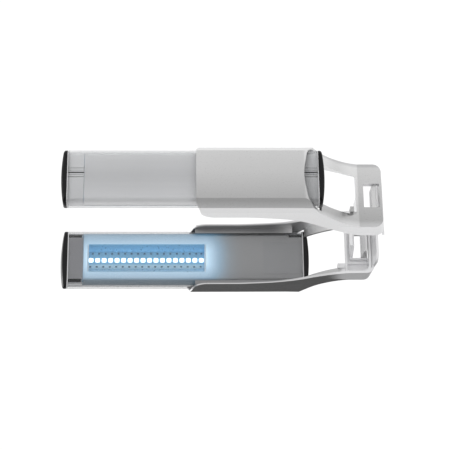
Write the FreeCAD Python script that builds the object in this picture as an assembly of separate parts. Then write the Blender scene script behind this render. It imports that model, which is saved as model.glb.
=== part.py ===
# Clip-on aquarium lamp: a slim sealed LED bar that slides through a moulded
# bracket, and the bracket's forked arms ending in a clip for the tank's rim.
# Lengths are in millimetres.  +X runs from the lamp's free tip towards the
# clip (out of the tank), +Y is across the lamp, +Z is up.  The origin is on the
# inner jaw's face, in the middle, level with the ribs that rest on the glass.
import os
import math
import FreeCAD
import Part

V = FreeCAD.Vector

# ------------------------------------------------------------------ driving dimensions
# station numbers "xs" are measured from the lamp's tip, heights "zs" from the lamp's top face
SEAT_XS = 245.4          # station of the inner jaw's face, where the inside of the glass comes
SEAT_ZS = -45.5          # height of the rim seat below the lamp's top

LAMP_L = 210.0           # lamp over both caps
LAMP_W = 48.0            # lamp width
LAMP_T = 15.0            # lamp thickness
LAMP_R = 6.0             # rounding of the lamp's long edges
TUBE_WALL = 1.5          # wall of the clear tube
CAP_T = 4.6              # thickness of an end cap in the middle
CAP_BOW = 1.9            # how far an end cap's face bows out between its sides
SEAL_T = 0.8             # thickness of a seal ring
TONGUE_L = 12.0          # length of a cap's two tongues
TNG_Y0, TNG_Y1 = 18.2, 20.3      # the tongues' inner and outer faces, from the lamp's middle
TNG_Z = -10.6            # top of the tongues
INSERT_END = 18.0        # station where the grey end insert stops

LED_N = 18               # LEDs in the row
LED_PITCH = 5.5          # spacing of the LEDs
WIN_X0, WIN_X1 = 22.9, 121.2   # light channel along the lamp
WIN_HALF = 12.0          # half width of the light channel's mouth

SLEEVE_X0 = 107.4        # free end of the bracket's sleeve
SLEEVE_X1 = 195.0        # sleeve's edge facing the clip
TOP_Z = 3.0              # bracket's top face above the lamp's top
WALL = 2.0               # bracket wall
TOP_HALF = 20.8          # half width of the flat top
CHAMFER_Z = -4.3         # height of the chamfer's lower edge
SKIRT_HALF = 26.4        # half width at the chamfer's lower edge
CREASE_Z = -13.0         # height of the skirt's crease
CREASE_HALF = 27.0       # half width at the crease
SKIRT_Z = -24.5          # height of the skirt's free edge
LIP_IN = 20.6            # lips under the lamp reach in to this half width
LIP_TOP = -15.4          # upper face of the lips
LIP_T = 1.6              # lip thickness

PLATE_X0 = 239.1         # clip's cross plate begins
END_X = 260.6            # outer face of the clip's outer leg at the plate
LEG_FLARE = 5.7          # how far the leg stands further out at its lower end
PLATE_Z = -40.0          # top face of the cross plate
PLATE_T = 2.5            # cross plate thickness
CLIP_HALF = 28.0         # half width of the clip
LEG_T = 2.0              # thickness of the outer leg
LEG_Z = -78.0            # lower end of the outer leg
INNER_X0, INNER_X1 = 243.0, 245.4   # inner jaw
INNER_Z = -58.3          # lower edge of the clip's skirts
JAW_Z = -82.0            # lower end of the inner jaw
FORK_HALF = 17.5         # half width of the gap between the arms
TNG_HALF = 9.7           # half width of the spring tongue
HINGE_XS, HINGE_ZS = 256.8, -42.4   # where the tongue flexes


def P(xs, y, zs):
    return V(xs - SEAT_XS, y, zs - SEAT_ZS)


def box(x0, x1, y0, y1, z0, z1):
    return Part.makeBox(x1 - x0, y1 - y0, z1 - z0, P(x0, y0, z0))


def poly(points):
    return Part.makePolygon(list(points) + [points[0]])


def prism(points, vec):
    return Part.Face(poly(points)).extrude(vec)


def slab_profile(half_w, half_t, r, xs):
    """Closed wire of a rounded rectangle across the lamp, at one station."""
    zc = -LAMP_T / 2
    w, t = half_w, half_t
    a = r * (1 - math.sqrt(0.5))
    e = []

    def line(p, q):
        e.append(Part.makeLine(P(xs, p[0], zc + p[1]), P(xs, q[0], zc + q[1])))

    def arc(p, m, q):
        e.append(Part.Arc(P(xs, p[0], zc + p[1]), P(xs, m[0], zc + m[1]), P(xs, q[0], zc + q[1])).toShape())

    line((-w + r, t), (w - r, t))
    arc((w - r, t), (w - a, t - a), (w, t - r))
    line((w, t - r), (w, -t + r))
    arc((w, -t + r), (w - a, -t + a), (w - r, -t))
    line((w - r, -t), (-w + r, -t))
    arc((-w + r, -t), (-w + a, -t + a), (-w, -t + r))
    line((-w, -t + r), (-w, t - r))
    arc((-w, t - r), (-w + a, t - a), (-w + r, t))
    return Part.Wire(e)


def slab(half_w, half_t, r, x0, x1):
    return Part.Face(slab_profile(half_w, half_t, r, x0)).extrude(V(x1 - x0, 0, 0))


def cyl(xs, y, zs, r, length, axis):
    return Part.makeCylinder(r, length, P(xs, y, zs), axis)


def fillet_try(shape, picks, r):
    """Round the edges a rule picks out; leave the shape as it is if that can't be done."""
    edges = [e for e in shape.Edges if picks(e)]
    if not edges:
        return shape
    try:
        out = shape.makeFillet(r, edges)
        if out.isValid() and out.Volume > 0:
            return out
    except Exception:
        pass
    return shape


parts = {}

# ------------------------------------------------------------------ lamp: tube, seals, caps
outer = slab(LAMP_W / 2, LAMP_T / 2, LAMP_R, CAP_T + SEAL_T, LAMP_L - CAP_T - SEAL_T)
bore = slab(LAMP_W / 2 - TUBE_WALL, LAMP_T / 2 - TUBE_WALL, LAMP_R - TUBE_WALL, 0, LAMP_L)
parts["lens_tube"] = outer.cut(bore)

ring_o = slab(LAMP_W / 2 - 0.15, LAMP_T / 2 - 0.15, LAMP_R - 0.15, CAP_T, CAP_T + SEAL_T)
ring = ring_o.cut(bore)
parts["tip_seal"] = ring
ring2 = ring.copy()
ring2.translate(V(LAMP_L - 2 * CAP_T - SEAL_T, 0, 0))
parts["cable_seal"] = ring2

cavity = slab(LAMP_W / 2 - TUBE_WALL - 0.3, LAMP_T / 2 - TUBE_WALL - 0.3, LAMP_R - TUBE_WALL - 0.3, 0, LAMP_L)


def cap(side):
    x0, x1 = (0.0, CAP_T) if side < 0 else (LAMP_L - CAP_T, LAMP_L)
    c = slab(LAMP_W / 2, LAMP_T / 2, LAMP_R, x0, x1)
    bow_r = ((LAMP_W / 2) ** 2 + CAP_BOW ** 2) / (2 * CAP_BOW)
    centre = P(bow_r if side < 0 else LAMP_L - bow_r, 0, 0)
    c = c.common(cyl(bow_r if side < 0 else LAMP_L - bow_r, 0, -40, bow_r, 80, V(0, 0, 1)))

    def on_face(e):
        pts = [e.valueAt(e.FirstParameter + (e.LastParameter - e.FirstParameter) * k / 4.0) for k in range(5)]
        return all(abs(math.hypot(p.x - centre.x, p.y) - bow_r) < 1e-3 for p in pts)

    c = fillet_try(c, on_face, 1.6)
    t0, t1 = (CAP_T, CAP_T + TONGUE_L) if side < 0 else (LAMP_L - CAP_T - TONGUE_L, LAMP_L - CAP_T)
    for s in (-1, 1):
        y0, y1 = sorted((s * TNG_Y0, s * TNG_Y1))
        c = c.fuse(box(t0, t1, y0, y1, -13.2, TNG_Z).common(cavity))
    return c.removeSplitter()


parts["tip_cap"] = cap(-1)
JACK_R = 4.0
cable = cap(1)
cable = cable.cut(cyl(LAMP_L - CAP_T - 1, 0, -LAMP_T / 2, JACK_R, CAP_T + 2, V(1, 0, 0)))
parts["cable_cap"] = cable

jack = cyl(LAMP_L - 13.0, 0, -LAMP_T / 2, JACK_R - 0.05, 12.4, V(1, 0, 0))
jack = jack.cut(cyl(LAMP_L - 10.0, 0, -LAMP_T / 2, 2.8, 12, V(1, 0, 0)))
jack = jack.fuse(cyl(LAMP_L - 10.5, 0, -LAMP_T / 2, 1.0, 8.5, V(1, 0, 0)))
parts["dc_socket"] = jack.removeSplitter()


# ------------------------------------------------------------------ lamp: grooved end inserts
def insert(x0, x1, low):
    b = box(x0, x1, -22.4, 22.4, low, -1.9).common(cavity)
    # slots for the cap's tongues, open below
    for s in (-1, 1):
        y0, y1 = sorted((s * (TNG_Y0 - 0.3), s * (TNG_Y1 + 0.3)))
        b = b.cut(box(x0 - 1, x1 + 1, y0, y1, -15, TNG_Z + 0.3))
    # one deep groove for the seam and four shallow ones beside it
    for y, w, deep in ((3.5, 1.1, 1.5), (7.4, 0.5, 0.5), (5.4, 0.35, 0.35), (1.7, 0.4, 0.4), (-0.3, 0.8, 0.5)):
        b = b.cut(box(x0 - 1, x1 + 1, y - w / 2, y + w / 2, -1.9 - deep, 0))
    return b


parts["tip_insert"] = insert(CAP_T + 0.2, INSERT_END, -13.1)
ci = insert(LAMP_L - INSERT_END, LAMP_L - CAP_T - 0.2, -11.9)
ci = ci.cut(cyl(LAMP_L - INSERT_END - 1, 0, -LAMP_T / 2, JACK_R + 0.1, INSERT_END + 2, V(1, 0, 0)))
parts["cable_insert"] = ci

# ------------------------------------------------------------------ lamp: heat sink, board, LEDs
HS0, HS1 = INSERT_END + 0.3, LAMP_L - INSERT_END - 0.3
SCREWS = [(20.2, -5.0), (20.2, 5.0), (123.9, -5.0), (123.9, 5.0)]
hs = box(HS0, HS1, -22.4, 22.4, -4.3, -1.8)
for s in (-1, 1):
    y0, y1 = sorted((s * 20.4, s * 22.4))
    hs = hs.fuse(box(HS0, HS1, y0, y1, -9.0, -4.3))
hs = hs.common(cavity).removeSplitter()
for (sx, sy) in SCREWS:
    hs = hs.cut(cyl(sx, sy, -4.8, 1.0, 2.2, V(0, 0, 1)))
parts["heat_sink"] = hs

tp = box(19.0, 125.2, -8.0, 8.0, -4.8, -4.3)
lb = box(18.8, 125.4, -8.4, 8.4, -6.4, -4.8)
for (sx, sy) in SCREWS:
    tp = tp.cut(cyl(sx, sy, -6, 1.0, 3, V(0, 0, 1)))
    lb = lb.cut(cyl(sx, sy, -8, 1.0, 5, V(0, 0, 1)))
parts["thermal_pad"] = tp
parts["led_board"] = lb

screws = []
for (sx, sy) in SCREWS:
    s = cyl(sx, sy, -7.4, 1.55, 1.0, V(0, 0, 1))
    s = s.fuse(cyl(sx, sy, -6.6, 0.98, 3.8, V(0, 0, 1)))
    s = s.cut(box(sx - 1.2, sx + 1.2, sy - 0.2, sy + 0.2, -7.5, -6.95))
    s = s.cut(box(sx - 0.2, sx + 0.2, sy - 1.2, sy + 1.2, -7.5, -6.95))
    screws.append(s.removeSplitter())
parts["board_screws"] = Part.makeCompound(screws)

leds = []
led0 = (WIN_X0 + WIN_X1) / 2 - (LED_N - 1) * LED_PITCH / 2
for i in range(LED_N):
    x = led0 + i * LED_PITCH
    b = box(x - 2.0, x + 2.0, -1.8, 1.8, -6.7, -6.4)
    b = b.fuse(Part.makeCone(1.95, 1.6, 0.55, P(x, 0, -6.7), V(0, 0, -1)))
    leds.append(b.removeSplitter())
parts["leds"] = Part.makeCompound(leds)

# small resistors in two rows beside the LEDs
res = []
for i in range(LED_N):
    for s in (-1, 1):
        x = led0 + i * LED_PITCH + (1.2 if s > 0 else -0.6)
        if i == LED_N - 1 and s > 0:
            x -= 1.2
        res.append(box(x - 0.8, x + 0.8, s * 5.6 - 0.45, s * 5.6 + 0.45, -6.85, -6.4))
parts["board_resistors"] = Part.makeCompound(res)

# light channel: two polished flanks and two end plates
for name, s in (("reflector_front", -1), ("reflector_rear", 1)):
    pts = [P(WIN_X0, s * 7.1, -6.5), P(WIN_X0, s * 7.9, -6.5), P(WIN_X0, s * WIN_HALF, -12.2),
           P(WIN_X0, s * WIN_HALF, -12.9), P(WIN_X0, s * (WIN_HALF - 0.75), -12.9)]
    parts[name] = prism(pts, V(WIN_X1 - WIN_X0, 0, 0))
for name, x0 in (("channel_end_tip", WIN_X0 - 1.0), ("channel_end_cable", WIN_X1)):
    pts = [P(x0, -7.9, -6.5), P(x0, 7.9, -6.5), P(x0, WIN_HALF, -12.2), P(x0, WIN_HALF, -12.9),
           P(x0, -WIN_HALF, -12.9), P(x0, -WIN_HALF, -12.2)]
    parts[name] = prism(pts, V(1.0, 0, 0))

# tray that closes the underside around the light channel
tray = box(HS0, HS1, -22.4, 22.4, -13.1, -12.1)
for s in (-1, 1):
    y0, y1 = sorted((s * 20.4, s * 22.4))
    tray = tray.fuse(box(HS0, HS1, y0, y1, -12.2, -9.1))
tray = tray.fuse(box(HS1 - 1.0, LAMP_L - CAP_T - 0.4, 0.3 - TNG_Y0, TNG_Y0 - 0.3, -13.1, -12.1))
tray = tray.common(cavity).removeSplitter()
tray = tray.cut(box(WIN_X0 - 1.2, WIN_X1 + 1.2, -WIN_HALF - 0.2, WIN_HALF + 0.2, -14, -12))
parts["bottom_tray"] = tray
parts["blank_plate"] = box(171.0, 203.0, -14.0, 14.0, -13.3, -13.1)

# driver board behind the light channel
DZ = -12.1
parts["driver_board"] = box(128.0, 186.0, -15.0, 15.0, DZ, DZ + 1.2)
top = DZ + 1.2
comp = [
    cyl(138.0, 6.0, top, 4.2, 4.6, V(0, 0, 1)),
    cyl(150.0, -8.0, top + 2.6, 2.6, 9.0, V(1, 0, 0)),
    cyl(150.0, -2.0, top + 2.6, 2.6, 9.0, V(1, 0, 0)),
    box(146.0, 152.0, 3.0, 8.0, top, top + 1.6),
    box(160.0, 164.0, 5.0, 9.0, top, top + 2.2),
    box(134.0, 139.0, -10.0, -4.0, top, top + 2.4),
    box(176.0, 184.0, -6.0, 6.0, top, top + 4.2),
    box(168.0, 171.0, -9.0, -6.0, top, top + 1.0),
    box(168.0, 171.0, 6.0, 9.0, top, top + 1.0),
]
parts["driver_parts"] = Part.makeCompound(comp)


def wire_run(points, r):
    path = Part.BSplineCurve()
    path.interpolate([P(*p) for p in points])
    e = path.toShape()
    d = path.tangent(path.FirstParameter)[0]
    c = Part.Wire(Part.makeCircle(r, P(*points[0]), d))
    return Part.Wire(e).makePipeShell([c], True, True)


runs = []
for s in (-1, 1):
    runs.append(wire_run([(125.5, s * 2.4, -7.3), (127.0, s * 2.5, -7.6), (129.0, s * 2.6, -8.6), (131.0, s * 2.6, -10.2)], 0.55))
    runs.append(wire_run([(184.1, s * 2.0, -9.0), (188.0, s * 2.1, -8.6), (192.0, s * 2.0, -8.0), (196.8, s * 2.0, -7.6)], 0.55))
parts["lead_wires"] = Part.makeCompound(runs)

# ------------------------------------------------------------------ bracket: one moulding
TOP_CURVE = [(192.5, TOP_Z), (197.0, 1.5), (200.4, -2.8), (204.2, -9.6), (211.5, -19.3),
             (220.0, -27.7), (230.5, -35.4), (241.0, PLATE_Z)]
LOW_CURVE = [(150.0, SKIRT_Z), (172.0, -27.0), (191.2, -31.7), (203.0, -37.6), (214.3, -44.9),
             (228.5, -53.0), (241.0, INNER_Z)]


def spline(points):
    c = Part.BSplineCurve()
    c.interpolate([P(x, 0, z) for x, z in points])
    return c.toShape()


def side_face(top_pts, low, x_left, x_right, top_left_z, plate_z):
    """Side outline of the moulding or of its hollow, as a face in the XZ plane."""
    e = []

    def line(a, b):
        e.append(Part.makeLine(P(a[0], 0, a[1]), P(b[0], 0, b[1])))

    line((x_left, top_left_z), top_pts[0])
    e.append(spline(top_pts))
    line(top_pts[-1], (x_right, plate_z))
    if low is None:
        line((x_right, plate_z), (x_right, -95.0))
        line((x_right, -95.0), (x_left, -95.0))
        line((x_left, -95.0), (x_left, top_left_z))
    else:
        line((x_right, plate_z), (x_right, INNER_Z))
        line((x_right, INNER_Z), low[-1])
        e.append(spline(low))
        line(low[0], (x_left + 15.0, SKIRT_Z))
        e.append(Part.Arc(P(x_left + 15.0, 0, SKIRT_Z), P(x_left + 7.0, 0, -20.8), P(x_left + 3.6, 0, -12.6)).toShape())
        line((x_left + 3.6, -12.6), (x_left + 1.9, -4.3))
        line((x_left + 1.9, -4.3), (x_left, 0.4))
        line((x_left, 0.4), (x_left, top_left_z))
    return Part.Face(Part.Wire(Part.__sortEdges__(e)))


def across(face):
    f = face.copy()
    f.translate(V(0, -40, 0))
    return f.extrude(V(0, 80, 0))


def section(xs, pts):
    """Symmetric section polygon (half widths and heights, top to bottom) at one station."""
    right = [P(xs, y, z) for y, z in pts]
    left = [P(xs, -y, z) for y, z in reversed(pts)]
    return poly(right + left)


def shell_loft(rows):
    return Part.makeLoft([section(x, p) for x, p in rows], True, True)


LOW = -95.0
o_sleeve = [(TOP_HALF, TOP_Z), (SKIRT_HALF, CHAMFER_Z), (CREASE_HALF, CREASE_Z), (26.3, SKIRT_Z), (26.3, LOW)]
o_mid = [(TOP_HALF + 0.5, TOP_Z), (SKIRT_HALF + 0.4, CHAMFER_Z), (CREASE_HALF + 0.2, CREASE_Z), (26.9, SKIRT_Z), (26.9, LOW)]
o_clip = [(24.0, TOP_Z), (27.7, CHAMFER_Z), (27.9, CREASE_Z), (CLIP_HALF, SKIRT_Z), (CLIP_HALF, LOW)]
outer = shell_loft([(SLEEVE_X0, o_sleeve), (190.0, o_sleeve), (212.0, o_mid), (240.0, o_clip), (END_X, o_clip)])
outer = outer.common(across(side_face(TOP_CURVE, LOW_CURVE, SLEEVE_X0, END_X, TOP_Z, PLATE_Z)))

IN_TOP = 0.6
i_sleeve = [(20.9, IN_TOP), (24.6, -4.1), (24.6, CREASE_Z), (24.5, SKIRT_Z), (24.5, LOW)]
i_mid = [(21.3, IN_TOP), (24.9, -4.1), (24.9, CREASE_Z), (24.9, SKIRT_Z), (24.9, LOW)]
i_clip = [(23.0, IN_TOP), (25.4, -4.5), (25.8, CREASE_Z), (26.0, SKIRT_Z), (26.0, LOW)]
inner = shell_loft([(SLEEVE_X0 - 5, i_sleeve), (190.0, i_sleeve), (212.0, i_mid), (240.0, i_clip), (END_X - LEG_T, i_clip)])
IN_CURVE = [(195.6, IN_TOP), (198.3, -0.6), (200.4, -3.8), (203.6, -10.8), (210.2, -20.9),
            (218.6, -29.5), (229.4, -37.6), (240.6, PLATE_Z - PLATE_T)]
inner = inner.common(across(side_face(IN_CURVE, None, SLEEVE_X0 - 5, END_X - LEG_T, IN_TOP, PLATE_Z - PLATE_T)))
shell = outer.cut(inner)

# rounded outer corners of the clip in plan
R_CLIP = 7.0
for s in (-1, 1):
    y0, y1 = sorted((s * (CLIP_HALF - R_CLIP), s * (CLIP_HALF + 2)))
    corner = box(END_X - R_CLIP, END_X + 2, y0, y1, -90, -30)
    corner = corner.cut(cyl(END_X - R_CLIP, s * (CLIP_HALF - R_CLIP), -95, R_CLIP, 70, V(0, 0, 1)))
    shell = shell.cut(corner)
    # the same corner keeps its wall inside
    post = cyl(END_X - R_CLIP, s * (CLIP_HALF - R_CLIP), INNER_Z, R_CLIP, PLATE_Z - INNER_Z - 1.0, V(0, 0, 1))
    post = post.cut(cyl(END_X - R_CLIP, s * (CLIP_HALF - R_CLIP), INNER_Z - 1, R_CLIP - 2.2, 60, V(0, 0, 1)))
    y0, y1 = sorted((s * (CLIP_HALF - R_CLIP), s * (CLIP_HALF + 2)))
    post = post.common(box(END_X - R_CLIP, END_X + 2, y0, y1, -90, -30))
    shell = shell.fuse(post)

# gap between the two arms, rounded at its corners
fork = box(SLEEVE_X1, PLATE_X0, -FORK_HALF, FORK_HALF, -39.9 - 12, 20)
vert = [e for e in fork.Edges if abs(e.BoundBox.ZLength) > 40]
left = [e for e in vert if abs(e.BoundBox.XMin - P(SLEEVE_X1, 0, 0).x) < 1e-3]
right = [e for e in vert if abs(e.BoundBox.XMin - P(PLATE_X0, 0, 0).x) < 1e-3]
fork = fork.makeFillet(7.0, left)
vert = [e for e in fork.Edges if abs(e.BoundBox.ZLength) > 40 and abs(e.BoundBox.XMax - P(PLATE_X0, 0, 0).x) < 1e-3
        and abs(e.BoundBox.XLength) < 1e-3 and abs(e.BoundBox.YLength) < 1e-3]
if vert:
    fork = fork.makeFillet(2.5, vert)
shell = shell.cut(fork)
# above the arms the lamp's own width stays clear, so that it can slide towards the clip
# and the sleeve's top ends in a bowed edge that runs on into the arms
mouth = Part.BSplineCurve()
mouth.interpolate([P(x, y, -15.5) for x, y in ((203.6, 24.6), (199.4, 23.4), (197.0, 20.8), (195.2, 14.0), (193.9, 7.0), (193.5, 0.0),
                                               (193.9, -7.0), (195.2, -14.0), (197.0, -20.8), (199.4, -23.4), (203.6, -24.6))])
far = [P(203.6, 24.6, -15.5), P(END_X + 5, 24.6, -15.5), P(END_X + 5, -24.6, -15.5), P(203.6, -24.6, -15.5)]
edges = [mouth.toShape()] + [Part.makeLine(far[i], far[i + 1]) for i in range(3)]
way = Part.Face(Part.Wire(Part.__sortEdges__(edges))).extrude(V(0, 0, 36))
shell = shell.cut(way)

# window in the cross plate: the rim of the glass can be seen through its inner part
WX0, WX1, WY = 245.4, END_X - LEG_T, 10.5
shell = shell.cut(box(WX0, WX1, -WY, WY, -50, -30))
adds = []
for s in (-1, 1):
    y0, y1 = sorted((s * WY, s * (WY + 1.5)))
    adds.append(box(WX0 - 2.4, END_X - 1.0, y0, y1, SEAT_ZS, PLATE_Z - 0.5))
adds.append(box(PLATE_X0, PLATE_X0 + 1.8, -26.5, 26.5, -46.0, PLATE_Z - 0.5))
# ribs under the plate; the glass rests on their lower edges
for s in (-1, 1):
    for y, t in ((15.0, 1.3), (22.4, 1.7)):
        y0, y1 = sorted((s * (y - t / 2), s * (y + t / 2)))
        adds.append(box(PLATE_X0 + 1.0, END_X - 1.0, y0, y1, SEAT_ZS, PLATE_Z - 0.5))
# inner jaw below the window's inner edge, with a lead-in at its foot
jaw = [P(INNER_X1, -WY, PLATE_Z - 0.5), P(INNER_X1, -WY, JAW_Z + 4.0), P(INNER_X1 - 1.6, -WY, JAW_Z),
       P(INNER_X0 - 1.4, -WY, JAW_Z), P(INNER_X0, -WY, PLATE_Z - 0.5)]
adds.append(prism(jaw, V(0, 2 * WY, 0)))
# flared end wall: the skirts run round the corners into the outer leg
def end_prism(zs0, zs1, off, x0):
    shift0 = LEG_FLARE * (PLATE_Z - zs0) / (PLATE_Z - LEG_Z)
    shift1 = LEG_FLARE * (PLATE_Z - zs1) / (PLATE_Z - LEG_Z)
    e, h, r = END_X - off + shift0, CLIP_HALF - off, R_CLIP - off
    k = r * math.sqrt(0.5)
    w = Part.Wire([
        Part.makeLine(P(x0, -h, zs0), P(e - r, -h, zs0)),
        Part.Arc(P(e - r, -h, zs0), P(e - r + k, -h + r - k, zs0), P(e, -h + r, zs0)).toShape(),
        Part.makeLine(P(e, -h + r, zs0), P(e, h - r, zs0)),
        Part.Arc(P(e, h - r, zs0), P(e - r + k, h - r + k, zs0), P(e - r, h, zs0)).toShape(),
        Part.makeLine(P(e - r, h, zs0), P(x0, h, zs0)),
        Part.makeLine(P(x0, h, zs0), P(x0, -h, zs0))])
    return Part.Face(w).extrude(V(shift1 - shift0, 0, zs1 - zs0))


end_wall = end_prism(PLATE_Z - 0.9, INNER_Z + 0.05, 0.12, PLATE_X0 + 9.0)
end_wall = end_wall.cut(end_prism(PLATE_Z + 4.0, INNER_Z - 4.0, LEG_T + 0.25, PLATE_X0 - 8.0))
end_wall = end_wall.cut(box(PLATE_X0, PLATE_X0 + 9.5, -30, 30, -70, -30))
adds.append(end_wall)
# outer leg: flared outwards, with rounded lower corners
leg = prism([P(END_X - LEG_T, -22.5, PLATE_Z - 1.0), P(END_X, -22.5, PLATE_Z - 1.0), P(END_X + 0.2, -22.5, PLATE_Z - 3.0),
             P(END_X + LEG_FLARE, -22.5, LEG_Z), P(END_X + LEG_FLARE - LEG_T, -22.5, LEG_Z),
             P(END_X - LEG_T + 0.2, -22.5, PLATE_Z - 3.0)], V(0, 45.0, 0))
trim = box(END_X - 6, END_X + 12, -22.5, 22.5, LEG_Z, PLATE_Z + 5)
low_edges = [e for e in trim.Edges if e.BoundBox.XLength > 17 and e.BoundBox.ZMax < P(0, 0, LEG_Z).z + 1e-3 and e.BoundBox.YLength < 1e-3]
adds.append(leg.common(trim.makeFillet(8.0, low_edges)))
# small hook for the cord, standing on the front arm's inner edge
hook = box(232.8, 236.0, -FORK_HALF - 0.8, -13.8, PLATE_Z - 0.8, -30.5)
hook = hook.cut(box(232, 237, -FORK_HALF - 2.0, -15.2, -34.4, -32.2))
hook = hook.fuse(box(232.8, PLATE_X0 + 0.5, -FORK_HALF - 0.8, -14.4, PLATE_Z - PLATE_T, PLATE_Z - 0.6))
adds.append(hook)
# lips that carry the lamp
for s in (-1, 1):
    y0, y1 = sorted((s * LIP_IN, s * 24.6))
    adds.append(box(SLEEVE_X0 + 5.5, 196.0, y0, y1, LIP_TOP - LIP_T, LIP_TOP))
for a in adds:
    shell = shell.fuse(a)
shell = shell.removeSplitter()
parts["holder"] = shell

# ------------------------------------------------------------------ spring tongue behind the glass
# side outline: recessed top panel, then a leaf that bulges towards the glass and curls back below
leaf = [(252.4, -43.2), (258.1, -41.2), (258.2, -42.8), (254.9, -44.6), (254.0, -49.0), (253.9, -56.0), (254.9, -60.2),
        (257.2, -65.2), (255.7, -66.0), (253.2, -60.9), (252.2, -56.0), (252.4, -49.0), (252.3, -45.6)]
tongue = prism([P(x, -TNG_HALF, z) for x, z in leaf], V(0, 2 * TNG_HALF, 0))
root = Part.makeCylinder(1.2, 2 * TNG_HALF, P(HINGE_XS, -TNG_HALF, HINGE_ZS), V(0, 1, 0))
tongue = tongue.cut(box(HINGE_XS + 0.6, 262, -12, 12, -48, -38)).fuse(root).removeSplitter()
parts["spring_tongue"] = tongue

os.makedirs("parts", exist_ok=True)
for name, shape in parts.items():
    if not shape.isValid():
        print("INVALID", name)
    print(name, round(shape.Volume, 1), len(shape.Solids), [round(v, 1) for v in (shape.BoundBox.XMin, shape.BoundBox.XMax, shape.BoundBox.YMin, shape.BoundBox.YMax, shape.BoundBox.ZMin, shape.BoundBox.ZMax)])
    shape.exportStep("parts/" + name + ".step")
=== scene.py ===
# Looks for the clip-on aquarium lamp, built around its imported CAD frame.
import bpy
import bmesh
import math
from mathutils import Vector, Matrix


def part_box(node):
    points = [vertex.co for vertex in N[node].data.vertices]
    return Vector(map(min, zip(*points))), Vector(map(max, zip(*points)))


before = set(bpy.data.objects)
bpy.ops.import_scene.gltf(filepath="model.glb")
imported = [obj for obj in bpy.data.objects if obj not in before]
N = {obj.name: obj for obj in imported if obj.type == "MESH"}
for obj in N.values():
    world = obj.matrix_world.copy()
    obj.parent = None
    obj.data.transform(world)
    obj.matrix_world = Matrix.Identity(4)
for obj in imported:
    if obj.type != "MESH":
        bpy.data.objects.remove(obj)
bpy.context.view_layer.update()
sc = bpy.context.scene
sc.view_settings.view_transform = "Standard"
sc.view_settings.look = "None"
sc.view_settings.exposure = 0.0
sc.view_settings.gamma = 1.0

MM = 0.001
SX, SZ = 245.4, 45.5          # the origin is 245.4 mm from the lamp's tip and 45.5 mm below its top


def P(xs, y, zs):
    """Row-frame point, in metres, from a station along the lamp, a side distance and a height from the lamp's top."""
    return Vector(((xs - SX) * MM, y * MM, (zs + SZ) * MM))


# ------------------------------------------------------------------ materials
def new_mat(name):
    m = bpy.data.materials.new(name)
    m.use_nodes = True
    nt = m.node_tree
    for n in list(nt.nodes):
        nt.nodes.remove(n)
    out = nt.nodes.new("ShaderNodeOutputMaterial")
    p = nt.nodes.new("ShaderNodeBsdfPrincipled")
    nt.links.new(p.outputs[0], out.inputs[0])
    return m, nt, p, out


def link(nt, a, b):
    nt.links.new(a, b)


def coords(nt, scale=(1, 1, 1), loc=(0, 0, 0)):
    tc = nt.nodes.new("ShaderNodeTexCoord")
    mp = nt.nodes.new("ShaderNodeMapping")
    mp.inputs["Scale"].default_value = scale
    mp.inputs["Location"].default_value = loc
    link(nt, tc.outputs["Object"], mp.inputs["Vector"])
    return mp.outputs[0]


def noise(nt, vec, scale, detail=2.0, rough=0.5):
    n = nt.nodes.new("ShaderNodeTexNoise")
    n.inputs["Scale"].default_value = scale
    n.inputs["Detail"].default_value = detail
    n.inputs["Roughness"].default_value = rough
    link(nt, vec, n.inputs["Vector"])
    return n.outputs["Fac"]


def ramp(nt, fac, stops):
    r = nt.nodes.new("ShaderNodeValToRGB")
    el = r.color_ramp.elements
    while len(el) > 1:
        el.remove(el[-1])
    el[0].position = stops[0][0]
    el[0].color = (*stops[0][1], 1) if len(stops[0][1]) == 3 else stops[0][1]
    for pos, col in stops[1:]:
        e = el.new(pos)
        e.color = (*col, 1) if len(col) == 3 else col
    link(nt, fac, r.inputs[0])
    return r.outputs[0]


def maprange(nt, v, a, b, c, d, smooth=False):
    m = nt.nodes.new("ShaderNodeMapRange")
    m.interpolation_type = "SMOOTHSTEP" if smooth else "LINEAR"
    m.inputs["From Min"].default_value = a
    m.inputs["From Max"].default_value = b
    m.inputs["To Min"].default_value = c
    m.inputs["To Max"].default_value = d
    link(nt, v, m.inputs["Value"])
    return m.outputs[0]


def math_node(nt, op, a, b=None):
    m = nt.nodes.new("ShaderNodeMath")
    m.operation = op
    for i, v in enumerate((a, b)):
        if v is None:
            continue
        if isinstance(v, (int, float)):
            m.inputs[i].default_value = v
        else:
            link(nt, v, m.inputs[i])
    return m.outputs[0]


def mix_col(nt, fac, a, b, mode="MIX"):
    m = nt.nodes.new("ShaderNodeMix")
    m.data_type = "RGBA"
    m.blend_type = mode
    ins = [s for s in m.inputs if s.type == "RGBA"]
    fin = [s for s in m.inputs if s.type == "VALUE"][0]
    if isinstance(fac, (int, float)):
        fin.default_value = fac
    else:
        link(nt, fac, fin)
    for s, v in zip(ins, (a, b)):
        if isinstance(v, tuple):
            s.default_value = (*v, 1)
        else:
            link(nt, v, s)
    return [o for o in m.outputs if o.type == "RGBA"][0]


def bump(nt, p, height, strength, distance):
    b = nt.nodes.new("ShaderNodeBump")
    b.inputs["Strength"].default_value = strength
    b.inputs["Distance"].default_value = distance
    link(nt, height, b.inputs["Height"])
    link(nt, b.outputs[0], p.inputs["Normal"])
    return b


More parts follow.
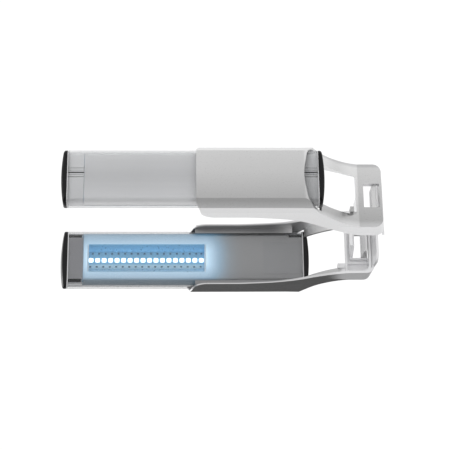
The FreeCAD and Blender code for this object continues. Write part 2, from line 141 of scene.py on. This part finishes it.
def plastic(name, col, rough=0.45, metallic=0.0, grain=900.0, grain_d=0.00003, var=0.06, spec=0.5, coat=0.0, coat_rough=0.1, streak=None):
    """Moulded plastic: fine grain, faint colour mottling and slight changes in gloss."""
    m, nt, p, out = new_mat(name)
    v = coords(nt)
    big = noise(nt, v, 22.0, 3.0)
    fine = noise(nt, v, grain, 2.0, 0.6)
    lo = tuple(c * (1 - var) for c in col)
    hi = tuple(min(1.0, c * (1 + var)) for c in col)
    c = ramp(nt, big, [(0.3, lo), (0.7, hi)])
    link(nt, c, p.inputs["Base Color"])
    r = maprange(nt, fine, 0.25, 0.75, rough * 0.85, min(1.0, rough * 1.15))
    link(nt, r, p.inputs["Roughness"])
    p.inputs["Metallic"].default_value = metallic
    p.inputs["Specular IOR Level"].default_value = spec
    if coat:
        p.inputs["Coat Weight"].default_value = coat
        p.inputs["Coat Roughness"].default_value = coat_rough
    bump(nt, p, fine, 0.35, grain_d)
    return m


def assign(mat, *names):
    for n in names:
        me = N[n].data
        me.materials.clear()
        me.materials.append(mat)
        for poly in me.polygons:
            poly.material_index = 0


def clear_acrylic():
    m, nt, p, out = new_mat("Acrylic_Clear")
    v = coords(nt)
    # faint milkiness, with a painted highlight along the front edge's upper half
    tc = nt.nodes.new("ShaderNodeTexCoord")
    sp = nt.nodes.new("ShaderNodeSeparateXYZ")
    link(nt, tc.outputs["Object"], sp.inputs[0])
    e = math_node(nt, "MULTIPLY", maprange(nt, sp.outputs[1], -0.0205, -0.0222, 0.0, 1.0),
                  maprange(nt, sp.outputs[2], P(0, 0, -9.0).z, P(0, 0, -5.0).z, 0.0, 1.0))
    link(nt, mix_col(nt, e, (0.55, 0.56, 0.57), (0.90, 0.90, 0.91)), p.inputs["Base Color"])
    p.inputs["Specular IOR Level"].default_value = 0.6
    n = noise(nt, v, 60.0, 2.0)
    r = maprange(nt, n, 0.3, 0.7, 0.04, 0.09)
    link(nt, r, p.inputs["Roughness"])
    tr = nt.nodes.new("ShaderNodeBsdfTransparent")
    tr.inputs[0].default_value = (0.985, 0.987, 0.99, 1)
    lw = nt.nodes.new("ShaderNodeLayerWeight")
    lw.inputs["Blend"].default_value = 0.25
    f = maprange(nt, lw.outputs["Facing"], 0.0, 1.0, 0.03, 0.75)
    mx = nt.nodes.new("ShaderNodeMixShader")
    link(nt, f, mx.inputs[0])
    link(nt, tr.outputs[0], mx.inputs[1])
    link(nt, p.outputs[0], mx.inputs[2])
    link(nt, mx.outputs[0], out.inputs[0])
    return m


def extruded(name, col, rough, metallic):
    """Drawn aluminium or printed tray: faint lines along the lamp over a soft cloudy tone."""
    m, nt, p, out = new_mat(name)
    v = coords(nt)
    lines = noise(nt, coords(nt, (3.0, 900.0, 900.0)), 1.0, 3.0, 0.6)
    cloud = noise(nt, v, 16.0, 2.0)
    c1 = ramp(nt, cloud, [(0.3, tuple(c * 0.965 for c in col)), (0.7, tuple(min(1, c * 1.03) for c in col))])
    c2 = ramp(nt, lines, [(0.3, (0.95, 0.95, 0.95)), (0.7, (1.0, 1.0, 1.0))])
    tcx = nt.nodes.new("ShaderNodeTexCoord")
    spx = nt.nodes.new("ShaderNodeSeparateXYZ")
    link(nt, tcx.outputs["Object"], spx.inputs[0])
    # painted shade: the tray darkens to 0.42 of its tone on its front side
    edge = maprange(nt, spx.outputs[1], -0.0200, -0.0165, 0.0, 1.0, True)
    c1 = mix_col(nt, edge, tuple(c * 0.42 for c in col), c1)
    link(nt, mix_col(nt, 1.0, c1, c2, "MULTIPLY"), p.inputs["Base Color"])
    p.inputs["Metallic"].default_value = metallic
    link(nt, maprange(nt, lines, 0.3, 0.7, rough * 0.85, rough * 1.15), p.inputs["Roughness"])
    bump(nt, p, lines, 0.25, 0.00003)
    return m, nt, p


def silver(name, far, near, rough, metallic, y_far, y_near, lines=False, skirt=None, grain=1400.0, groove=None, mid=None, under=None, bracket=False):
    """Silver lacquer with painted shading: a soft tone that deepens across the lamp, with fine grain or drawn lines."""
    m, nt, p, out = new_mat(name)
    v = coords(nt)
    tc = nt.nodes.new("ShaderNodeTexCoord")
    sp = nt.nodes.new("ShaderNodeSeparateXYZ")
    link(nt, tc.outputs["Object"], sp.inputs[0])
    f = maprange(nt, sp.outputs[1], y_far, y_near, 0.0, 1.0)
    if mid is None:
        base = mix_col(nt, f, far, near)
    else:
        base = ramp(nt, f, [(0.0, far), (mid[0], mid[1]), (1.0, near)])
    # painted light: a paler tone on the front faces (the bracket's front skirt, the heat sink's front strip)
    if skirt is not None:
        k = maprange(nt, sp.outputs[1], skirt[0], skirt[1], 0.0, 1.0)
        base = mix_col(nt, k, base, skirt[2])
    if under is not None:
        # painted shade: a deeper tone on the faces near the lamp's underside
        base = mix_col(nt, maprange(nt, sp.outputs[2], under[0], under[1], 0.0, 1.0), base, under[2])
    if bracket:
        # painted shade: the rear skirt has the front one's tone, darker than the top beside it
        base = mix_col(nt, maprange(nt, sp.outputs[1], 0.0245, 0.0262, 0.0, 1.0), base, (0.70, 0.70, 0.705))
        # painted shade: a darker tone on the sleeve's inner faces, fading out towards the clip
        ay = math_node(nt, "ABSOLUTE", sp.outputs[1])
        inner_shade = maprange(nt, ay, 0.0256, 0.0252, 0.0, 1.0)
        zr = math_node(nt, "SUBTRACT", sp.outputs[2], P(0, 0, 0).z)
        slant = math_node(nt, "ADD", ay, math_node(nt, "MULTIPLY", zr, 0.767))      # splits the chamfer's two faces
        inner_shade = math_node(nt, "MINIMUM", inner_shade, maprange(nt, slant, 0.0227, 0.0223, 0.0, 1.0))
        below = maprange(nt, sp.outputs[2], P(0, 0, 1.8).z, P(0, 0, 1.4).z, 0.0, 1.0)
        sleeve = maprange(nt, sp.outputs[0], P(176, 0, 0).x, P(212, 0, 0).x, 1.0, 0.0, True)
        k = math_node(nt, "MULTIPLY", math_node(nt, "MULTIPLY", inner_shade, below), sleeve)
        base = mix_col(nt, k, base, (0.29, 0.29, 0.295))
        # painted light: the clip's lower faces are painted pale (0.93) and made less metallic, so they read bright from
        # below
        clip = maprange(nt, sp.outputs[0], P(222, 0, 0).x, P(238, 0, 0).x, 0.0, 1.0, True)
        low = maprange(nt, sp.outputs[2], P(0, 0, -40.3).z, P(0, 0, -41.3).z, 0.0, 1.0)
        base = mix_col(nt, math_node(nt, "MULTIPLY", clip, low), base, (0.93, 0.93, 0.94))
        link(nt, maprange(nt, math_node(nt, "MULTIPLY", clip, low), 0.0, 1.0, metallic, 0.25), p.inputs["Metallic"])
    if groove is not None:
        # painted shade: near-black floors of the grooves
        g = maprange(nt, sp.outputs[2], groove[0], groove[1], 0.0, 1.0)
        gb = maprange(nt, sp.outputs[2], groove[2], groove[2] + 0.0005, 1.0, 0.0)
        g = math_node(nt, "MULTIPLY", g, math_node(nt, "SUBTRACT", 1.0, gb))
        g = math_node(nt, "MULTIPLY", g, maprange(nt, math_node(nt, "ABSOLUTE", sp.outputs[1]), 0.010, 0.012, 1.0, 0.0))
        base = mix_col(nt, g, base, (0.004, 0.004, 0.004))
    cloud = noise(nt, v, 18.0, 2.0)
    c1 = ramp(nt, cloud, [(0.3, (0.97, 0.97, 0.97)), (0.7, (1.0, 1.0, 1.0))])
    base = mix_col(nt, 1.0, base, c1, "MULTIPLY")
    if lines:
        fine = noise(nt, coords(nt, (3.0, 900.0, 900.0)), 1.0, 3.0, 0.6)
    else:
        fine = noise(nt, v, grain, 2.0, 0.6)
    c2 = ramp(nt, fine, [(0.3, (0.965, 0.965, 0.965)), (0.7, (1.0, 1.0, 1.0))])
    link(nt, mix_col(nt, 1.0, base, c2, "MULTIPLY"), p.inputs["Base Color"])
    if not bracket:
        p.inputs["Metallic"].default_value = metallic
    link(nt, maprange(nt, fine, 0.25, 0.75, rough * 0.88, rough * 1.12), p.inputs["Roughness"])
    bump(nt, p, fine, 0.3, 0.00002)
    return m


# painted shade: the bracket's top darkens from 0.86 at the rear to 0.58 at the front, and its front skirt is painted
# paler
bracket = silver("Bracket_Satin_Silver", (0.86, 0.86, 0.86), (0.58, 0.58, 0.58), 0.30, 0.9, 0.024, -0.0215,
                 skirt=(-0.0225, -0.0262, (0.755, 0.755, 0.76)), mid=(0.46, (0.77, 0.77, 0.77)), bracket=True)
assign(bracket, "holder")
# painted shade: the tongue darkens slightly towards the front
assign(silver("Tongue_Satin_Silver", (0.90, 0.90, 0.90), (0.86, 0.86, 0.86), 0.50, 0.1, 0.010, -0.010), "spring_tongue")
assign(clear_acrylic(), "lens_tube")
assign(plastic("Seal_Silicone", (0.74, 0.74, 0.75), rough=0.5, grain=1500), "tip_seal", "cable_seal")
assign(plastic("Cap_Gloss_Black", (0.008, 0.008, 0.009), rough=0.25, grain=1800, grain_d=0.00002, var=0.1, spec=0.24), "tip_cap", "cable_cap")
assign(plastic("Socket_Black", (0.02, 0.02, 0.02), rough=0.5), "dc_socket")
# painted shade: the darker tone for the inserts' underside faces
UNDERSIDE_SHADE = (P(0, 0, -10.3).z, P(0, 0, -11.7).z, (0.33, 0.33, 0.345))
# painted shade: the height band of the inserts' grooves, whose floors are painted near black
GROOVE = (P(0, 0, -1.95).z, P(0, 0, -3.1).z, P(0, 0, -8.0).z)
# painted shade: both inserts darken towards the front, the cable-end one more, for the sleeve's shadow over it
assign(silver("Insert_Grey_Tip", (1.0, 1.0, 1.0), (0.88, 0.88, 0.885), 0.42, 0.10, 0.020, -0.019, groove=GROOVE, under=UNDERSIDE_SHADE), "tip_insert")
assign(silver("Insert_Grey_Cable", (0.93, 0.93, 0.93), (0.63, 0.63, 0.635), 0.42, 0.10, 0.020, -0.019, groove=GROOVE, under=UNDERSIDE_SHADE), "cable_insert")
# painted shade and highlight: the heat sink's top dips darker mid-width and its front strip is painted full white
assign(silver("Lamp_Silver", (1.0, 1.0, 1.0), (0.98, 0.98, 0.985), 0.45, 0.10, 0.022, -0.021, lines=True, mid=(0.5, (0.83, 0.83, 0.835)), skirt=(-0.0195, -0.0210, (1.0, 1.0, 1.0))), "heat_sink")
assign(plastic("Thermal_Pad", (0.40, 0.45, 0.52), rough=0.8), "thermal_pad")
# painted light: the board's blue is the LEDs' light painted into its base colour, paler towards the front
assign(silver("Board_Painted_Blue_Light", (0.27, 0.58, 0.84), (0.58, 0.84, 1.0), 0.45, 0.0, -0.0025, -0.0045, grain=600.0), "led_board")
assign(plastic("Resistor_Dark", (0.05, 0.10, 0.16), rough=0.4, var=0.2), "board_resistors")
assign(plastic("Screw_Steel", (0.5, 0.5, 0.52), rough=0.3, metallic=1.0), "board_screws")
assign(plastic("Channel_White", (0.72, 0.85, 0.95), rough=0.35), "channel_end_tip", "channel_end_cable")
assign(plastic("Plate_Blank", (0.375, 0.375, 0.38), rough=0.35, metallic=0.3), "blank_plate")
assign(plastic("Board_Green", (0.03, 0.16, 0.07), rough=0.4), "driver_board")
assign(plastic("Parts_Dark", (0.04, 0.04, 0.045), rough=0.5), "driver_parts")
assign(plastic("Wire_Red", (0.35, 0.03, 0.03), rough=0.5), "lead_wires")
# painted light: the reflectors' blue is the LEDs' light painted into their base colour, the front one paler
assign(plastic("Reflector_Satin", (0.28, 0.58, 0.84), rough=0.30, metallic=0.5, grain=500, grain_d=0.000005, var=0.04), "reflector_rear")
assign(plastic("Reflector_Satin_Bright", (0.46, 0.68, 0.84), rough=0.30, metallic=0.4, grain=500, grain_d=0.000005, var=0.04), "reflector_front")

# tray: grey, with a painted glow of the LEDs' light around the channel, as emission
m, nt, p = extruded("Tray_Grey", (0.41, 0.41, 0.412), 0.42, 0.25)
geo = nt.nodes.new("ShaderNodeTexCoord")
sep = nt.nodes.new("ShaderNodeSeparateXYZ")
link(nt, geo.outputs["Object"], sep.inputs[0])
WIN0, WIN1 = P(23.4, 0, 0).x, P(120.7, 0, 0).x
dx0 = math_node(nt, "MULTIPLY", math_node(nt, "SUBTRACT", WIN0, sep.outputs[0]), 1.5)
dx1 = math_node(nt, "SUBTRACT", sep.outputs[0], WIN1)
dx = math_node(nt, "MAXIMUM", math_node(nt, "MAXIMUM", dx0, dx1), 0.0)
ay = math_node(nt, "ABSOLUTE", sep.outputs[1])
dy = math_node(nt, "MULTIPLY", math_node(nt, "MAXIMUM", math_node(nt, "SUBTRACT", ay, 0.004), 0.0), 0.85)
d2 = math_node(nt, "ADD", math_node(nt, "MULTIPLY", dx, dx), math_node(nt, "MULTIPLY", dy, dy))
dist = math_node(nt, "SQRT", d2)
painted_glow = math_node(nt, "POWER", maprange(nt, dist, 0.0, 0.036, 1.0, 0.0), 2.2)
painted_glow = math_node(nt, "MULTIPLY", painted_glow, maprange(nt, sep.outputs[1], -0.0195, -0.0165, 0.40, 1.0, True))
link(nt, ramp(nt, painted_glow, [(0.0, (0.0, 0.0, 0.0)), (0.12, (0.012, 0.045, 0.07)), (0.35, (0.06, 0.19, 0.31)), (0.75, (0.36, 0.60, 0.80)), (1.0, (0.72, 0.92, 0.98))]), p.inputs["Emission Color"])
p.inputs["Emission Strength"].default_value = 1.0
assign(m, "bottom_tray")

m, nt, p, out = new_mat("LED_Emitter")
v = coords(nt)
nz = noise(nt, v, 300.0)
p.inputs["Base Color"].default_value = (0.8, 0.9, 1.0, 1)
tcl = nt.nodes.new("ShaderNodeTexCoord")
spl = nt.nodes.new("ShaderNodeSeparateXYZ")
link(nt, tcl.outputs["Object"], spl.inputs[0])
dome = maprange(nt, spl.outputs[2], P(0, 0, -6.69).z, P(0, 0, -6.71).z, 0.0, 1.0)
lit = ramp(nt, nz, [(0.2, (0.80, 0.93, 1.0)), (0.8, (0.86, 0.96, 1.0))])
# the phosphor is a round spot in the middle of each chip
step = math_node(nt, "DIVIDE", math_node(nt, "SUBTRACT", spl.outputs[0], P(25.3 - 2.75, 0, 0).x), 5.5 * MM)
along = math_node(nt, "MULTIPLY", math_node(nt, "SUBTRACT", math_node(nt, "FRACT", step, 0.0), 0.5), 5.5 * MM)
led_lo, led_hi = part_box("leds")
across = math_node(nt, "SUBTRACT", spl.outputs[1], (led_lo[1] + led_hi[1]) / 2)
spot = math_node(nt, "SQRT", math_node(nt, "ADD", math_node(nt, "MULTIPLY", along, along), math_node(nt, "MULTIPLY", across, across)))
round_spot = maprange(nt, spot, 1.75 * MM, 2.35 * MM, 1.0, 0.0, True)
lit = mix_col(nt, round_spot, (0.14, 0.27, 0.42), lit)
link(nt, mix_col(nt, dome, (0.12, 0.24, 0.38), lit), p.inputs["Emission Color"])
p.inputs["Emission Strength"].default_value = 2.2
assign(m, "leds")

# ------------------------------------------------------------------ stage: mirror-like floor under the lamp
FLOOR_Z = (SZ - 106.0) * MM


def floor():
    me = bpy.data.meshes.new("stage_floor")
    bm = bmesh.new()
    s = 6.0
    vs = [bm.verts.new((x, y, FLOOR_Z)) for x, y in ((-s, -s), (s, -s), (s, s), (-s, s))]
    bm.faces.new(vs)
    bm.to_mesh(me)
    bm.free()
    o = bpy.data.objects.new("stage_floor", me)
    sc.collection.objects.link(o)
    m, nt, p, out = new_mat("Stage_Floor")
    nt.nodes.remove(p)
    table = nt.nodes.new("ShaderNodeEmission")       # the pale lit table, as the lamp sees it
    table.inputs[0].default_value = (1, 1, 1, 1)
    table.inputs[1].default_value = 0.95
    paper = nt.nodes.new("ShaderNodeEmission")       # the same table where it isn't polished
    paper.inputs[0].default_value = (1, 1, 1, 1)
    paper.inputs[1].default_value = 1.05
    gl = nt.nodes.new("ShaderNodeBsdfGlossy")
    gl.inputs["Color"].default_value = (0.86, 0.86, 0.86, 1)
    gl.inputs["Roughness"].default_value = 0.0
    geo = nt.nodes.new("ShaderNodeNewGeometry")
    sep = nt.nodes.new("ShaderNodeSeparateXYZ")
    link(nt, geo.outputs["Position"], sep.inputs[0])

    def window(v, a, b, f):
        lo = maprange(nt, v, a - f, a, 0.0, 1.0, True)
        hi = maprange(nt, v, b, b + f, 1.0, 0.0, True)
        return math_node(nt, "MULTIPLY", lo, hi)

    # the mirror patch is very slightly dished, which enlarges what it shows by a few percent
    tx = math_node(nt, "DIVIDE", math_node(nt, "SUBTRACT", P(174.5, 0, 0).x, sep.outputs[0]), 2.44)
    ty = math_node(nt, "DIVIDE", math_node(nt, "SUBTRACT", -0.0828, sep.outputs[1]), 1.741)
    cmb = nt.nodes.new("ShaderNodeCombineXYZ")
    link(nt, tx, cmb.inputs[0])
    link(nt, ty, cmb.inputs[1])
    cmb.inputs[2].default_value = 1.0
    nrm = nt.nodes.new("ShaderNodeVectorMath")
    nrm.operation = "NORMALIZE"
    link(nt, cmb.outputs[0], nrm.inputs[0])
    link(nt, nrm.outputs[0], gl.inputs["Normal"])

    wx = window(sep.outputs[0], -0.290, 0.060, 0.03)
    wy = window(sep.outputs[1], -0.110, 0.060, 0.03)
    w = math_node(nt, "MULTIPLY", wx, wy)
    mx = nt.nodes.new("ShaderNodeMixShader")
    link(nt, w, mx.inputs[0])
    link(nt, paper.outputs[0], mx.inputs[1])
    link(nt, gl.outputs[0], mx.inputs[2])
    lp = nt.nodes.new("ShaderNodeLightPath")
    m1 = nt.nodes.new("ShaderNodeMixShader")
    link(nt, lp.outputs["Is Camera Ray"], m1.inputs[0])
    link(nt, table.outputs[0], m1.inputs[1])
    link(nt, mx.outputs[0], m1.inputs[2])
    tr = nt.nodes.new("ShaderNodeBsdfTransparent")
    m2 = nt.nodes.new("ShaderNodeMixShader")
    link(nt, geo.outputs["Backfacing"], m2.inputs[0])
    link(nt, m1.outputs[0], m2.inputs[1])
    link(nt, tr.outputs[0], m2.inputs[2])
    link(nt, m2.outputs[0], out.inputs[0])
    me.materials.append(m)
    return o


floor()

# world: a light tent, dimmer in front and with a dark camera-side patch high up in front
w = bpy.data.worlds.new("World")
sc.world = w
w.use_nodes = True
nt = w.node_tree
for n in list(nt.nodes):
    nt.nodes.remove(n)
out = nt.nodes.new("ShaderNodeOutputWorld")
tc = nt.nodes.new("ShaderNodeTexCoord")
sep = nt.nodes.new("ShaderNodeSeparateXYZ")
link(nt, tc.outputs["Generated"], sep.inputs[0])
level = maprange(nt, sep.outputs[1], -0.35, 0.25, 0.45, 0.72, True)
dot = nt.nodes.new("ShaderNodeVectorMath")
dot.operation = "DOT_PRODUCT"
link(nt, tc.outputs["Generated"], dot.inputs[0])
dot.inputs[1].default_value = (0.0, -0.4067, 0.9135)
patch = maprange(nt, dot.outputs["Value"], 0.78, 0.93, 1.0, 0.12, True)
lum = math_node(nt, "MULTIPLY", level, patch)
for sx, hi in ((-1.0, 1.5), (1.0, 0.25)):
    sd = nt.nodes.new("ShaderNodeVectorMath")
    sd.operation = "DOT_PRODUCT"
    link(nt, tc.outputs["Generated"], sd.inputs[0])
    sd.inputs[1].default_value = (sx * 0.755, 0.10, 0.648)
    lum = math_node(nt, "ADD", lum, maprange(nt, sd.outputs["Value"], 0.80, 0.93, 0.0, hi, True))
tent = nt.nodes.new("ShaderNodeBackground")
tent.inputs["Color"].default_value = (1, 1, 1, 1)
link(nt, lum, tent.inputs["Strength"])
seen = nt.nodes.new("ShaderNodeBackground")       # what the camera and the polished table see: plain white
seen.inputs["Color"].default_value = (1, 1, 1, 1)
seen.inputs["Strength"].default_value = 1.25
lp = nt.nodes.new("ShaderNodeLightPath")
direct = math_node(nt, "MAXIMUM", lp.outputs["Is Camera Ray"], lp.outputs["Is Singular Ray"])
ms = nt.nodes.new("ShaderNodeMixShader")
link(nt, direct, ms.inputs[0])
link(nt, tent.outputs[0], ms.inputs[1])
link(nt, seen.outputs[0], ms.inputs[2])
link(nt, ms.outputs[0], out.inputs[0])


# ------------------------------------------------------------------ camera
ELEV, DIST = math.radians(66.0), 1.25
AXIS = P(96.0, 0, -7.5)
PX0, PY0 = 181.9, 179.25       # where the lamp's axis point falls in the 450 x 450 frame
SCALE = 1247.6                # pixels per metre at the lamp
cam_d = bpy.data.cameras.new("Camera")
cam = bpy.data.objects.new("Camera", cam_d)
sc.collection.objects.link(cam)
back = Vector((0, -math.cos(ELEV), math.sin(ELEV)))
cam.location = AXIS + back * DIST
cam.rotation_mode = "QUATERNION"
level_q = (-back).to_track_quat("-Z", "Y")
# the frame's middle is a little to the right of and below that point, so the camera turns there, keeping its roll
focal = SCALE * DIST
right, up = level_q @ Vector((1, 0, 0)), level_q @ Vector((0, 1, 0))
middle = (-back * focal + right * (225.0 - PX0) + up * (PY0 - 225.0)).normalized()
cam.rotation_quaternion = (-back).rotation_difference(middle) @ level_q
cam_d.sensor_width = 36.0
cam_d.lens = SCALE * DIST * 36.0 / 450.0
cam_d.clip_start, cam_d.clip_end = 0.05, 50.0
sc.camera = cam
